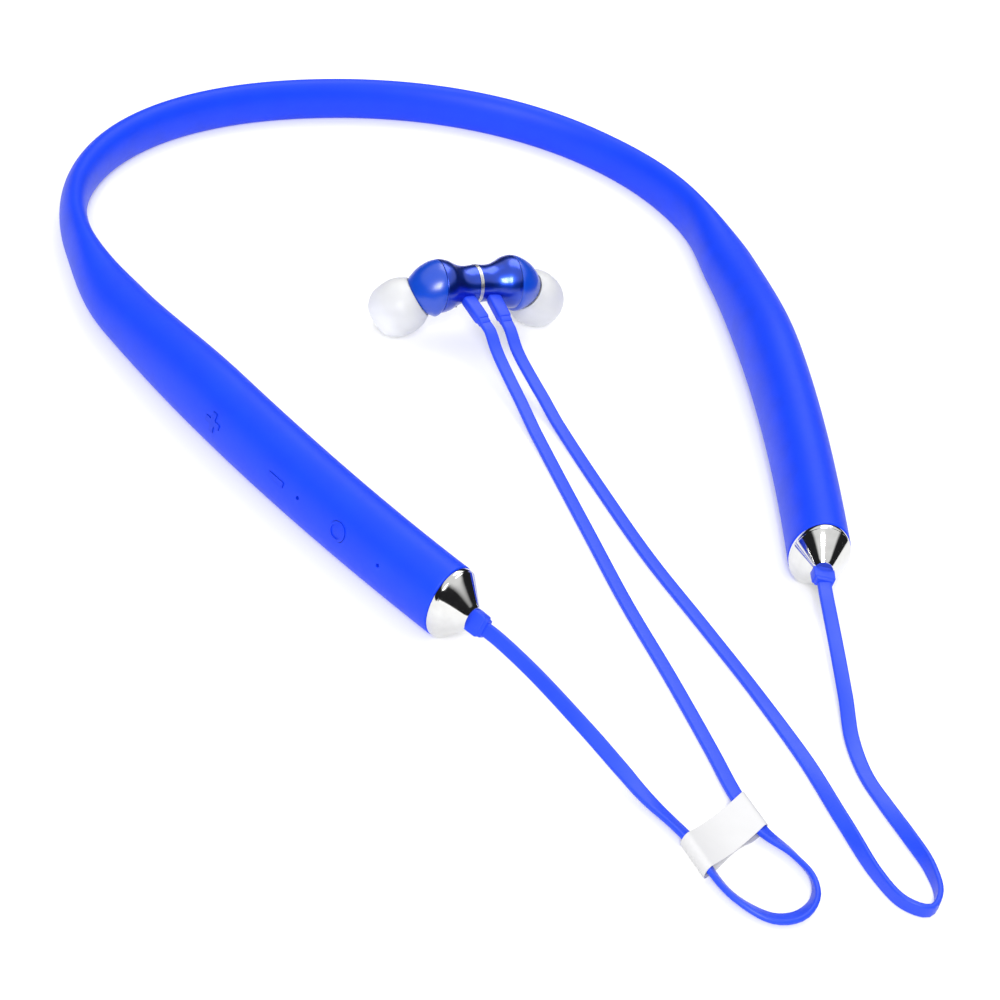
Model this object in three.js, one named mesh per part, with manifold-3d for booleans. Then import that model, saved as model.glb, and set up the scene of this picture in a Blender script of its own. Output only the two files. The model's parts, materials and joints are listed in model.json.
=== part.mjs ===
// Neckband earphones: a flexible rear band with two rigid arms, chrome end caps, two flat cords
// and two magnetic earbuds. Millimetres, +Z up, resting on its underside with the arms towards -Y.
import * as THREE from "three";
import { mergeVertices } from "three/addons/utils/BufferGeometryUtils.js";
import Module from "manifold-3d";

const wasm = await Module();
wasm.setup();

// ---------------------------------------------------------------- driving dimensions, mm
const GAP = 0.3; // between neighbouring pieces
const SIDES = 20; // corners of a band section
const INNER_SIDES = 12; // corners of a hollow's section
const TURNS = 18; // sides of an earbud's turned pieces
const BAND_STEP = 9.6;
const ARM_STEP = 10.6;
const HALF_LENGTH = 244.4; // centre line, middle of the rear band to an arm's end
// Pairs of [fraction of the half length, value]: the band's bend in 1/mm, and its half sizes.
const BEND = [[0, 0.00797], [0.14, 0.012], [0.28, 0.01631], [0.4, 0.01794], [0.5, 0.0092], [0.6, 0.00231],
  [0.75, 0.00208], [1, 0.00134]];
const HALF_WIDTH = [[0, 3.25], [0.22, 3.35], [0.44, 3.0], [0.56, 6.0], [0.7, 6.45], [1, 6.3]];
const HALF_HEIGHT = [[0, 5.35], [0.3, 5.35], [0.5, 6.2], [0.72, 8.5], [1, 8.0]];
const FLAT = Math.cos((2 * Math.PI) / SIDES); // height of the flat underside, as a share of the half height

const HINGE = 115; // where an arm flexes against the rear band, along the centre line
const ARM_START = HINGE + 2.3;
const SLEEVE_WALL = 1.2;
const POD = { start: 143, end: HALF_LENGTH - 3.5, wall: 1.0 };
const CHANNEL = { width: 1.5, height: 3.0 }; // half sizes of the rear band's core channel
const WIRE = { radius: 1.0, height: 1.3 };
const HARNESS = { radius: 0.6, height: -1.7 };

// Where the controls' board sits, and which way it faces.
const CONTROLS = { middle: 203, tilt: THREE.MathUtils.degToRad(15) };
const BOARD = { thickness: 1, height: 7, from: -20, to: 32 };
const KEY = { arm: 2.2, half: 0.6, round: 2.1, stem: 0.9, inner: 5.5, foot: 2.1 };
const KEY_AT = { volume_up: -22.5, volume_down: -1.8, multifunction: 16.5 };
const MICROPHONE_AT = 4.8;
const LIGHT_AT = 28;
const PORT = { at: -31, width: 7.4, height: 2.7, depth: 5.2 };
const FLAP = { width: 10, height: 4.2, thickness: 1.0 };
const BATTERY = { middle: 196, length: 44, width: 3.6, height: 7.4 };

const CAP = { rim: 1.3, cone: 4.7, small: 0.36, spigot: 3 };
// Strain relief blocks; roll is each one's turn from upright about the arm, its foot going outwards.
const GLAND = { width: 2.2, height: 4.4, length: 3.4, roll: { left: 27, right: 85 } };
const CORD = { radius: 1.0, sides: 8, step: 5.6 };

// Earbud pair: the point where the magnets meet, and sizes from there outwards.
const PAIR = new THREE.Vector3(2.74, -95.21, 12.7);
const NOZZLE_TILT = THREE.MathUtils.degToRad(39.5);
const BUD_ROLL = THREE.MathUtils.degToRad(12.3); // the pair's turn about its own axis
const BUD = { ring: 0.45, ringRadius: 4.35, shellEnd: 9.2, faceRadius: 4.5, face: 4.7 };
const NOZZLE = { radius: 2.3, length: 4.4 };
const TIP = { radius: 6.45, length: 11.1 };
const BOOT = {
  width: 3.2,
  thickness: 2.2,
  start: { left: [3.3, -2.9, -1.0], right: [3.1, -2.9, -1.0] },
  end: { left: [1.5, -11.2, -3.1], right: [3.7, -11.2, -3.1] },
};

// Cord routes from just past the gland to just short of the earbud's boot, chosen by hand.
const ROUTES = {
  left: [[-32.4, -210.1, 6.2], [-27.5, -224.9, 4.4], [-23.3, -238.7, 2.6], [-20.4, -246.6, 1.9],
    [-19.0, -252.5, 1.9], [-18.6, -259.5, 1.8], [-16.9, -265.8, 1.5], [-12.4, -270.9, 1.4], [-7.3, -271.6, 1.4],
    [-3.0, -269.1, 1.4], [-0.7, -264.4, 1.4], [-1.6, -258.7, 1.7], [-4.7, -252.5, 1.9], [-5.1, -244.5, 1.8],
    [-3.7, -231, 1.3], [-2.4, -211, 1.2], [-1.6, -190.2, 1.2], [0.2, -168.1, 1.2], [2.2, -141.9, 1.5],
    [2.6, -120.9, 4.0], [2.0, -112.6, 6.7]],
  right: [[34.2, -208.8, 6.0], [31.6, -216.8, 4.5], [28.4, -226, 3.0], [25.1, -235, 1.8], [23.3, -243, 1.4],
    [22.9, -251.5, 1.3], [22.8, -260, 1.3], [22.5, -267.5, 1.3], [20.6, -273.6, 1.4], [16.8, -276.4, 1.4],
    [13.1, -273.6, 1.4], [11.6, -266.5, 1.3], [12.2, -253.7, 1.3], [13.3, -237.4, 1.3], [12.9, -219.5, 1.2],
    [11.4, -199.5, 1.2], [9.6, -178, 1.2], [9.2, -155.6, 1.2], [9.0, -135.7, 1.7], [7.9, -121.2, 4.0],
    [6.8, -113, 6.7]],
};
const TAG = { middle: [-12, -251.6], turn: 0.43, skew: 0.06, length: 19.2, width: 8.4, height: 3.7, wall: 0.4 };

const SIDE = { left: -1, right: 1 };

// ---------------------------------------------------------------- materials
function material(color, roughness, metalness = 0, opacity = 1) {
  return new THREE.MeshStandardMaterial({ color, roughness, metalness, opacity, transparent: opacity < 1 });
}
const paint = {
  sleeve: material(0x1c3df2, 0.55),
  cord: material(0x3355ff, 0.5),
  shell: material(0x0a2ac0, 0.25, 0.8),
  front: material(0x0b3fd8, 0.2),
  chrome: material(0xe6e6e8, 0.08, 1),
  tip: material(0xe9eaed, 0.4, 0, 0.9),
  paper: material(0xeeeeee, 0.8),
  plastic: material(0x22242a, 0.5),
  board: material(0x14603a, 0.5),
  metal: material(0xb4b6ba, 0.3, 1),
  battery: material(0xbfc3c8, 0.4, 0.4),
  lens: material(0xdfe8ff, 0.15, 0, 0.6),
};

// ---------------------------------------------------------------- centre line and sections
function linear(table, t) {
  let i = 0;
  while (i < table.length - 2 && t > table[i + 1][0]) i += 1;
  const u = (t - table[i][0]) / (table[i + 1][0] - table[i][0]);
  return { from: table[i][1], to: table[i + 1][1], u: THREE.MathUtils.clamp(u, 0, 1) };
}
const bendAt = (t) => {
  const { from, to, u } = linear(BEND, t);
  return from + (to - from) * u;
};
const easedAt = (table, t) => {
  const { from, to, u } = linear(table, t);
  return from + (to - from) * u * u * (3 - 2 * u);
};

// The centre line's right half, walked in short steps; the left half mirrors it.
const WALK = 0.5;
const walked = [{ x: 0, y: 0, turn: 0 }];
for (let s = WALK; s <= HALF_LENGTH + 20; s += WALK) {
  const last = walked[walked.length - 1];
  const turn = last.turn + WALK * bendAt((s - WALK / 2) / HALF_LENGTH);
  const middle = (last.turn + turn) / 2;
  walked.push({ x: last.x + WALK * Math.cos(middle), y: last.y - WALK * Math.sin(middle), turn });
}

function stationAt(s, side) {
  const at = Math.abs(s) / WALK;
  const i = Math.min(Math.floor(at), walked.length - 2);
  const [p, q] = [walked[i], walked[i + 1]];
  const u = at - i;
  const turn = p.turn + (q.turn - p.turn) * u;
  const t = Math.abs(s) / HALF_LENGTH;
  const a = easedAt(HALF_WIDTH, t);
  const b = easedAt(HALF_HEIGHT, t);
  return {
    a,
    b,
    point: new THREE.Vector3(side * (p.x + (q.x - p.x) * u), p.y + (q.y - p.y) * u, b * FLAT),
    out: new THREE.Vector3(side * Math.sin(turn), Math.cos(turn), 0),
    along: new THREE.Vector3(side * Math.cos(turn), -Math.sin(turn), 0),
  };
}

// One ring of the band's section, its half sizes less an inset, with the underside cut flat.
function sectionRing(station, inset, sides = SIDES) {
  const ring = [];
  for (let i = 0; i < sides; i += 1) {
    const angle = (2 * Math.PI * i) / sides;
    const u = (station.a - inset) * Math.cos(angle);
    const v = Math.max((station.b - inset) * Math.sin(angle), -(station.b * FLAT - inset));
    ring.push(station.point.clone().addScaledVector(station.out, u).add(new THREE.Vector3(0, 0, v)));
  }
  return ring;
}

function ovalRing(station, width, height, lift, sides) {
  const ring = [];
  for (let i = 0; i < sides; i += 1) {
    const angle = (2 * Math.PI * (i + 0.5)) / sides;
    const p = station.point.clone().addScaledVector(station.out, width * Math.cos(angle));
    ring.push(p.add(new THREE.Vector3(0, 0, lift + height * Math.sin(angle))));
  }
  return ring;
}

// ---------------------------------------------------------------- solids
// A closed skin over rings of equal count, each end closed by a fan. Rings may turn either way round.
function loft(rings) {
  const count = rings[0].length;
  const middle = (ring) => ring.reduce((sum, p) => sum.add(p), new THREE.Vector3()).divideScalar(count);
  const points = rings.flat();
  const first = points.push(middle(rings[0])) - 1;
  const last = points.push(middle(rings[rings.length - 1])) - 1;
  const index = [];
  for (let r = 0; r < rings.length - 1; r += 1) {
    for (let i = 0; i < count; i += 1) {
      const [a, b] = [r * count + i, r * count + ((i + 1) % count)];
      index.push(a, b, b + count, a, b + count, a + count);
    }
  }
  const end = (rings.length - 1) * count;
  for (let i = 0; i < count; i += 1) {
    const j = (i + 1) % count;
    index.push(first, j, i, last, end + i, end + j);
  }
  const geometry = new THREE.BufferGeometry().setFromPoints(points);
  geometry.setIndex(index);
  return facingOut(geometry);
}

function signedVolume(geometry) {
  const position = geometry.getAttribute("position");
  const corner = [0, 1, 2].map(() => new THREE.Vector3());
  let sum = 0;
  for (let i = 0; i < geometry.index.count; i += 3) {
    corner.forEach((c, k) => c.fromBufferAttribute(position, geometry.index.getX(i + k)));
    sum += corner[0].dot(corner[1].clone().cross(corner[2]));
  }
  return sum / 6;
}

function facingOut(geometry) {
  if (signedVolume(geometry) < 0) {
    const order = geometry.index.array;
    for (let i = 0; i < order.length; i += 3) [order[i + 1], order[i + 2]] = [order[i + 2], order[i + 1]];
  }
  geometry.computeVertexNormals();
  return geometry;
}

function solid(geometry) {
  const bare = geometry.clone();
  bare.deleteAttribute("normal");
  bare.deleteAttribute("uv");
  const merged = facingOut(mergeVertices(bare, 1e-4));
  return new wasm.Manifold(new wasm.Mesh({
    numProp: 3,
    vertProperties: merged.getAttribute("position").array,
    triVerts: new Uint32Array(merged.index.array),
  }));
}

function geometryOf(manifold) {
  const mesh = manifold.getMesh();
  const geometry = new THREE.BufferGeometry();
  geometry.setAttribute("position", new THREE.BufferAttribute(new Float32Array(mesh.vertProperties), 3));
  geometry.setIndex(new THREE.BufferAttribute(new Uint32Array(mesh.triVerts), 1));
  geometry.computeVertexNormals();
  return geometry;
}

const box = (x, y, z, at = [0, 0, 0]) => new THREE.BoxGeometry(x, y, z).translate(...at);
const prism = (shape, depth) => new THREE.ExtrudeGeometry(shape, { depth, bevelEnabled: false });

// A disc or rod from x0 to x1 along +X.
function rod(radius, x0, x1, sides = 16, at = [0, 0]) {
  const geometry = new THREE.CylinderGeometry(radius, radius, x1 - x0, sides).rotateZ(-Math.PI / 2);
  return geometry.translate((x0 + x1) / 2, at[0], at[1]);
}

// A turned solid about +X from [x, radius] pairs.
function turned(profile, sides) {
  const points = profile.map(([x, r]) => new THREE.Vector2(r, x));
  return new THREE.LatheGeometry(points, sides).rotateZ(-Math.PI / 2);
}

function named(name, geometry, paintwork) {
  const mesh = new THREE.Mesh(geometry, paintwork.clone());
  mesh.name = name;
  return mesh;
}

// Places a group at a station: local X points outwards, Y along the arm, turned up by tilt.
function armMatrix(s, side, tilt = 0) {
  const { point, out } = stationAt(s, side);
  const up = new THREE.Vector3(0, 0, 1);
  const basis = new THREE.Matrix4().makeBasis(out, up.clone().cross(out), up).setPosition(point);
  return basis.multiply(new THREE.Matrix4().makeRotationY(-tilt));
}
const placed = (geometry, matrix) => geometry.clone().applyMatrix4(matrix);

// ---------------------------------------------------------------- rear band
const stations = (from, to, step, side) => {
  const count = Math.ceil((to - from) / step);
  return Array.from({ length: count + 1 }, (_, i) => stationAt(from + ((to - from) * i) / count, side));
};
const bothSides = (to, step) => [
  ...stations(step / 2, to, step, SIDE.left).reverse(),
  ...stations(step / 2, to, step, SIDE.right),
];

// A ball-shaped end with the section's own height, about the hinge's upright axis.
function noseAt(side, grow) {
  const { point, a, b } = stationAt(HINGE, side);
  const profile = [];
  const floor = -(b * FLAT + grow);
  profile.push(new THREE.Vector2(0, floor), new THREE.Vector2((a + grow) * Math.sqrt(1 - FLAT * FLAT), floor));
  for (let i = -3; i <= 5; i += 2) {
    const angle = (Math.PI * i) / 10;
    profile.push(new THREE.Vector2(i === 5 ? 0 : (a + grow) * Math.cos(angle), (b + grow) * Math.sin(angle)));
  }
  return new THREE.LatheGeometry(profile, TURNS).rotateX(Math.PI / 2).translate(point.x, point.y, point.z);
}

function rearSleeve() {
  const outer = solid(loft(bothSides(HINGE, BAND_STEP).map((st) => sectionRing(st, 0))));
  const channelRing = (st) => ovalRing(st, CHANNEL.width, CHANNEL.height, 0, 8);
  const channel = solid(loft(bothSides(HINGE + 6, BAND_STEP).map(channelRing)));
  let body = outer;
  for (const side of [-1, 1]) body = body.add(solid(noseAt(side, 0)));
  return geometryOf(body.subtract(channel));
}

const bandRod = ({ radius, height }, sides) =>
  loft(bothSides(HINGE + 1, BAND_STEP).map((st) => ovalRing(st, radius, radius, height, sides)));

// ---------------------------------------------------------------- arms
const glyph = (grow, reach, half) => {
  const [r, h] = [reach + grow, half + grow];
  const corners = [[r, h], [h, h], [h, r], [-h, r], [-h, h], [-r, h], [-r, -h], [-h, -h], [-h, -r], [h, -r],
    [h, -h], [r, -h]];
  return new THREE.Shape(corners.map(([x, y]) => new THREE.Vector2(x, y)));
};
const bar = (grow, reach, half) => {
  const [r, h] = [reach + grow, half + grow];
  return new THREE.Shape([[r, h], [-r, h], [-r, -h], [r, -h]].map(([x, y]) => new THREE.Vector2(x, y)));
};

// The outline of a key seen along its own axis, standing from x0 to x1.
function keyPrism(name, grow, x0, x1) {
  if (name === "multifunction") return rod(KEY.round + grow, x0, x1, 20, [KEY_AT[name], 0]);
  const shape = (name === "volume_up" ? glyph : bar)(grow, KEY.arm, KEY.half);
  const geometry = prism(shape, x1 - x0).rotateY(Math.PI / 2).rotateX(Math.PI / 2);
  return geometry.translate(x0, KEY_AT[name], 0);
}

// The board's flat frame leaves the curved centre line a little towards both ends.
const sag = (y) => (y * y * bendAt(0.8)) / 2;

function key(name, skin, frame) {
  const sagHere = sag(KEY_AT[name]);
  const pad = solid(placed(keyPrism(name, 0, KEY.inner - sagHere, 9), frame));
  const stem = solid(placed(rod(KEY.stem, KEY.foot, KEY.inner - sagHere + 0.2, 12, [KEY_AT[name], 0]), frame));
  return geometryOf(pad.add(stem).intersect(skin));
}

// The cover's plan from the arm's surface inwards; the end it turns about is cut back at a slant.
function flapBlank(grow) {
  const half = FLAP.width / 2 + grow;
  const surface = -(6.4 + sag(PORT.at));
  const inner = grow > 0 ? surface + 3 : surface + FLAP.thickness;
  const slant = grow > 0 ? 0 : 1.3;
  const plan = [[surface - 2, -half], [inner, -half], [inner, half - slant], [surface + 0.3, half],
    [surface - 2, half]];
  const height = FLAP.height + 2 * grow;
  const shape = new THREE.Shape(plan.map(([x, y]) => new THREE.Vector2(x, y)));
  return prism(shape, height).translate(0, PORT.at, -height / 2);
}

function armSkin(side) {
  return solid(loft(stations(ARM_START, HALF_LENGTH, ARM_STEP, side).map((st) => sectionRing(st, 0))));
}

function armSleeve(side, cuts) {
  const hollow = solid(loft(stations(ARM_START - 4, HALF_LENGTH + 2, ARM_STEP, side)
    .map((st) => sectionRing(st, SLEEVE_WALL, INNER_SIDES))));
  let body = armSkin(side).subtract(hollow).subtract(solid(noseAt(side, GAP)));
  for (const cut of cuts) body = body.subtract(solid(cut));
  return geometryOf(body);
}

// The rigid pod inside an arm, split into an outer and an inner half shell.
function podHalf(side, facing, cuts) {
  const inset = SLEEVE_WALL + GAP;
  const { start, end, wall } = POD;
  const body = solid(loft(stations(start, end, 12, side).map((st) => sectionRing(st, inset, INNER_SIDES))));
  const hollowRings = stations(start + 1, end - 1, 12, side).map((st) => sectionRing(st, inset + wall, INNER_SIDES));
  const hollow = solid(loft(hollowRings));
  const frame = armMatrix((start + end) / 2, side, CONTROLS.tilt);
  const half = solid(placed(box(30, 160, 40, [facing * (15 + GAP / 2) - 0.8, 0, 0]), frame));
  let shell = body.subtract(hollow).intersect(half);
  for (const cut of cuts) shell = shell.subtract(solid(cut));
  return geometryOf(shell);
}

function endCap(side) {
  const { a, b } = stationAt(HALF_LENGTH, side);
  const spigot = 1 - (SLEEVE_WALL + GAP) / a;
  const outline = [[-CAP.spigot, 0], [-CAP.spigot, spigot], [GAP, spigot], [GAP, 0.99], [GAP + CAP.rim, 0.99],
    [GAP + CAP.rim + 0.15, 0.95], [GAP + CAP.rim + CAP.cone, CAP.small], [GAP + CAP.rim + CAP.cone, 0]];
  const body = turned(outline, SIDES).scale(1, b * FLAT, a);
  const length = CAP.rim + CAP.cone + CAP.spigot;
  const slot = box(length + 4, GLAND.height + 2 * GAP, GLAND.width + 2 * GAP).rotateX(glandRoll(side));
  return placed(geometryOf(solid(body).subtract(solid(slot))), alongMatrix(HALF_LENGTH, side));
}

// Local X runs on along the arm, and Z points outwards.
function alongMatrix(s, side) {
  const { point, out, along } = stationAt(s, side);
  return new THREE.Matrix4().makeBasis(along, out.clone().cross(along), out).setPosition(point);
}

const glandRoll = (side) => THREE.MathUtils.degToRad(side < 0 ? -GLAND.roll.left : GLAND.roll.right);
const glandEnd = GAP + CAP.rim + CAP.cone + GLAND.length;
function gland(side) {
  const { width, height, length } = GLAND;
  const body = box(glandEnd - 0.8 + 2, height, width, [(glandEnd - 0.8 - 2) / 2, 0, 0]);
  const step = box(1.2, height - 1.2, width - 0.3, [glandEnd - 0.6, 0, 0]);
  const block = geometryOf(solid(body).add(solid(step))).rotateX(glandRoll(side));
  return placed(block, alongMatrix(HALF_LENGTH, side));
}

function leftArm() {
  const side = SIDE.left;
  const frame = armMatrix(CONTROLS.middle, side, CONTROLS.tilt);
  const skin = armSkin(side);
  const names = Object.keys(KEY_AT);
  const at = (geometry) => placed(geometry, frame);
  const pin = (y, radius, x0, x1) => at(rod(radius, x0, x1, 10, [y, 0]));
  const sleeveCuts = [
    ...names.map((name) => at(keyPrism(name, GAP, KEY.inner - 1.6, 9))),
    pin(MICROPHONE_AT, 0.45, 3.5, 9),
    pin(LIGHT_AT, 0.45, 3.5, 9),
    at(flapBlank(GAP)),
  ];
  const podCuts = [
    ...names.map((name) => pin(KEY_AT[name], KEY.stem + GAP, 1.5, 9)),
    pin(MICROPHONE_AT, 0.5, 1.5, 9),
    pin(LIGHT_AT, 0.9, 1.5, 9),
  ];
  const mouth = at(box(8, PORT.width + 2 * GAP, PORT.height + 2 * GAP, [-5, PORT.at, 0]));
  const { thickness, height, from, to } = BOARD;
  const board = box(thickness, to - from, height, [-thickness / 2, (from + to) / 2, 0]);
  const portMouth = -(4.7 + sag(PORT.at));
  const port = solid(box(PORT.depth, PORT.width, PORT.height, [portMouth + PORT.depth / 2, PORT.at, 0]))
    .subtract(solid(box(4.4, PORT.width - 0.8, PORT.height - 0.8, [portMouth + 1.8, PORT.at, 0])));
  const flap = solid(at(flapBlank(0))).intersect(skin);
  const switches = names.map((name) => named(`switch_${name}`,
    at(box(1.0, 3.4, 3.4, [GAP + 0.5, Math.max(KEY_AT[name], from + 2), 0])), paint.metal));
  return [
    named("sleeve_left", armSleeve(side, sleeveCuts), paint.sleeve),
    named("pod_left_outer", podHalf(side, 1, podCuts), paint.plastic),
    named("pod_left_inner", podHalf(side, -1, [mouth]), paint.plastic),
    ...names.map((name) => named(`button_${name}`, key(name, skin, frame), paint.sleeve)),
    ...switches,
    named("circuit_board", at(board), paint.board),
    named("bluetooth_module", at(box(1.4, 12, 5.4, [-thickness - GAP - 0.7, 12, 0])), paint.metal),
    named("microphone", at(box(0.9, 2.6, 2.6, [GAP + 0.45, MICROPHONE_AT, 0])), paint.metal),
    named("light_pipe", at(rod(0.6, GAP, 4.9 - sag(LIGHT_AT), 10, [LIGHT_AT, 0])), paint.lens),
    named("usb_socket", at(geometryOf(port)), paint.metal),
    named("usb_cover", geometryOf(flap), paint.sleeve),
    named("end_cap_left", endCap(side), paint.chrome),
    named("strain_relief_left", gland(side), paint.cord),
  ];
}

function rightArm() {
  const side = SIDE.right;
  const frame = armMatrix(BATTERY.middle, side, CONTROLS.tilt);
  const { width, length, height } = BATTERY;
  const cell = box(width, length, height, [-sag(length / 2) / 2, 0, 0]);
  const guard = box(0.8, 8, 6, [-sag(length / 2), length / 2 + GAP + 4, 0]);
  return [
    named("sleeve_right", armSleeve(side, []), paint.sleeve),
    named("pod_right_outer", podHalf(side, 1, []), paint.plastic),
    named("pod_right_inner", podHalf(side, -1, []), paint.plastic),
    named("battery", placed(cell, frame), paint.battery),
    named("battery_guard_board", placed(guard, frame), paint.board),
    named("end_cap_right", endCap(side), paint.chrome),
    named("strain_relief_right", gland(side), paint.cord),
  ];
}

// ---------------------------------------------------------------- earbuds
const pairFrame = (side) => new THREE.Matrix4().makeScale(side, 1, 1).setPosition(PAIR);
const budFrame = (side) => pairFrame(side).multiply(new THREE.Matrix4().makeRotationX(BUD_ROLL));
const nozzleAxis = new THREE.Vector3(Math.cos(NOZZLE_TILT), 0, -Math.sin(NOZZLE_TILT));
const faceCentre = new THREE.Vector3(BUD.shellEnd + GAP, 0, 0).addScaledVector(nozzleAxis, BUD.face);

function placedBud(geometry, frame) {
  return facingOut(mergeVertices(placed(geometry, frame), 1e-4));
}

// A ring about an axis in the bud's upright middle plane, tilted down by an angle.
function budRing(centre, radius, tilt, sides = TURNS) {
  const down = new THREE.Vector3(-Math.sin(tilt), 0, -Math.cos(tilt));
  const across = new THREE.Vector3(0, 1, 0);
  return Array.from({ length: sides }, (_, i) => {
    const angle = (2 * Math.PI * i) / sides;
    const offset = across.clone().multiplyScalar(radius * Math.cos(angle));
    return centre.clone().add(offset).addScaledVector(down, radius * Math.sin(angle));
  });
}

function shellProfile(inset) {
  const outline = [[BUD.ring + 0.15 + GAP, 4.3], [2.4, 4.15], [4.0, 4.35], [5.5, 4.95], [6.8, 5.6], [8.1, 5.95],
    [BUD.shellEnd, 6.02]];
  return outline.map(([x, r]) => [x, r - inset]);
}

function budShell() {
  const outer = shellProfile(0);
  const inner = shellProfile(0.8).reverse();
  const back = outer[0][0] + 0.8;
  inner[inner.length - 1][0] = back;
  return turned([[outer[0][0], 0], ...outer, ...inner, [back, 0]], TURNS);
}

function budFront() {
  const base = new THREE.Vector3(BUD.shellEnd + GAP, 0, 0);
  const shape = [[0, 6.0], [0.18, 6.1], [0.45, 5.95], [0.75, 5.35], [1, BUD.faceRadius]];
  const rings = shape.map(([u, radius]) => budRing(base.clone().lerp(faceCentre, u), radius, NOZZLE_TILT * u));
  rings.push(budRing(faceCentre, NOZZLE.radius, NOZZLE_TILT));
  rings.push(budRing(faceCentre.clone().addScaledVector(nozzleAxis, NOZZLE.length), NOZZLE.radius, NOZZLE_TILT));
  return loft(rings);
}

// Turned pieces on the nozzle: x is measured along the nozzle from the front face.
function onNozzle(geometry) {
  const turn = new THREE.Matrix4().makeRotationY(NOZZLE_TILT).setPosition(faceCentre);
  return placed(geometry, turn);
}

function earTip() {
  const { radius, length } = TIP;
  const outer = [[GAP, 5.0], [1.7, 5.8], [3.7, radius - 0.05], [5.7, radius - 0.1], [7.7, 6.0], [9.3, 5.1],
    [10.5, 3.9], [length, 2.5]];
  const bore = [[length - 0.4, 1.7], [5.4, 1.7], [5.2, NOZZLE.radius + GAP], [GAP + 0.2, NOZZLE.radius + GAP]];
  const pocket = [[GAP + 0.2, 3.3], [6.7, 3.6], [7.6, 4.6], [6.1, 5.6], [3.7, 5.7], [1.8, 5.2], [GAP, 4.5]];
  const loop = [...outer, ...bore, ...pocket];
  return turned([...loop, loop[0]], TURNS);
}

// A flat strain relief that leaves the shell's waist towards the cord.
function boot(name) {
  const start = new THREE.Vector3(...BOOT.start[name]);
  const end = new THREE.Vector3(...BOOT.end[name]);
  const matrix = new THREE.Matrix4().lookAt(start, end, new THREE.Vector3(0, 0, 1)).setPosition(start);
  const length = start.distanceTo(end);
  const wide = box(BOOT.width, BOOT.thickness, length - 1.6, [0, 0, -(length - 1.6) / 2]);
  const narrow = box(BOOT.width - 0.5, BOOT.thickness - 0.8, length, [0, 0, -length / 2]);
  const shell = solid(turned([[0, 0], [0, 4.6], ...shellProfile(-GAP).slice(1), [BUD.shellEnd + 1, 6.4],
    [BUD.shellEnd + 1, 0]], TURNS));
  return geometryOf(solid(placed(wide, matrix)).add(solid(placed(narrow, matrix))).subtract(shell));
}

function earbud(name, side) {
  const piece = (label, geometry, paintwork, frame = budFrame(side)) =>
    named(`${label}_${name}`, placedBud(geometry, frame), paintwork);
  const disc = (radius, x0, x1) => rod(radius, x0, x1, TURNS);
  return [
    piece("bud_ring", disc(BUD.ringRadius, 0.15, 0.15 + BUD.ring), paint.chrome),
    piece("bud_shell", budShell(), paint.shell),
    piece("bud_magnet", disc(2.9, 2.1, 3.9), paint.metal),
    piece("bud_driver", disc(4.5, 6.2, 8.6), paint.metal),
    piece("bud_front", budFront(), paint.front),
    piece("bud_screen", onNozzle(disc(1.4, NOZZLE.length + GAP, NOZZLE.length + 0.6)), paint.metal),
    piece("ear_tip", onNozzle(earTip()), paint.tip),
    piece("cord_boot", boot(name), paint.cord, pairFrame(side)),
  ];
}

// ---------------------------------------------------------------- cords
function cord(name) {
  const side = SIDE[name];
  const { point, along } = stationAt(HALF_LENGTH, side);
  const bootEnd = new THREE.Vector3(...BOOT.end[name]);
  const run = bootEnd.clone().sub(new THREE.Vector3(...BOOT.start[name])).normalize();
  const atBoot = (beyond) => bootEnd.clone().addScaledVector(run, beyond).applyMatrix4(pairFrame(side));
  const start = point.clone().addScaledVector(along, glandEnd + GAP);
  const lead = start.clone().addScaledVector(along, 3);
  const middle = ROUTES[name].map((p) => new THREE.Vector3(...p));
  const curve = new THREE.CatmullRomCurve3([start, lead, ...middle, atBoot(2), atBoot(GAP)], false, "centripetal");
  const section = new THREE.Shape(Array.from({ length: CORD.sides }, (_, i) => {
    const angle = (2 * Math.PI * i) / CORD.sides;
    return new THREE.Vector2(CORD.radius * Math.cos(angle), CORD.radius * Math.sin(angle));
  }));
  const steps = Math.round(curve.getLength() / CORD.step);
  return new THREE.ExtrudeGeometry(section, { steps, extrudePath: curve, bevelEnabled: false });
}

// A band of film folded round the two strands of the left cord.
function tag() {
  const { length, width, height, wall } = TAG;
  const outline = new THREE.Shape([[-1, 0], [1, 0], [1, 1], [-1, 1]]
    .map(([x, z]) => new THREE.Vector2((x * length) / 2, z * height)));
  const [half, low, high] = [length / 2 - wall, wall, height - wall];
  outline.holes.push(new THREE.Path([[-half, low], [-half, high], [half, high], [half, low]]
    .map(([x, z]) => new THREE.Vector2(x, z))));
  const geometry = prism(outline, width).rotateX(Math.PI / 2).translate(0, width / 2, 0.05);
  const across = new THREE.Vector3(Math.cos(TAG.turn), Math.sin(TAG.turn), 0);
  const strands = new THREE.Vector3(-TAG.skew, 1, 0);
  const up = new THREE.Vector3(0, 0, 1);
  return placed(geometry, new THREE.Matrix4().makeBasis(across, strands, up).setPosition(...TAG.middle, 0));
}

// ---------------------------------------------------------------- the object
const earphones = new THREE.Group();
const object = [
  named("sleeve_rear", rearSleeve(), paint.sleeve),
  named("memory_wire", bandRod(WIRE, 6), paint.metal),
  named("rear_harness", bandRod(HARNESS, 6), paint.plastic),
  ...leftArm(),
  ...rightArm(),
  ...earbud("left", SIDE.left),
  ...earbud("right", SIDE.right),
];
earphones.add(...object);

// The origin is under the middle of the object, not counting its cords.
const bounds = new THREE.Box3();
object.forEach((mesh) => bounds.expandByObject(mesh));
earphones.add(
  named("cord_left", cord("left"), paint.cord),
  named("cord_right", cord("right"), paint.cord),
  named("cord_tag", tag(), paint.paper),
);
earphones.position.y = -(bounds.min.y + bounds.max.y) / 2;

export default earphones;
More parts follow.
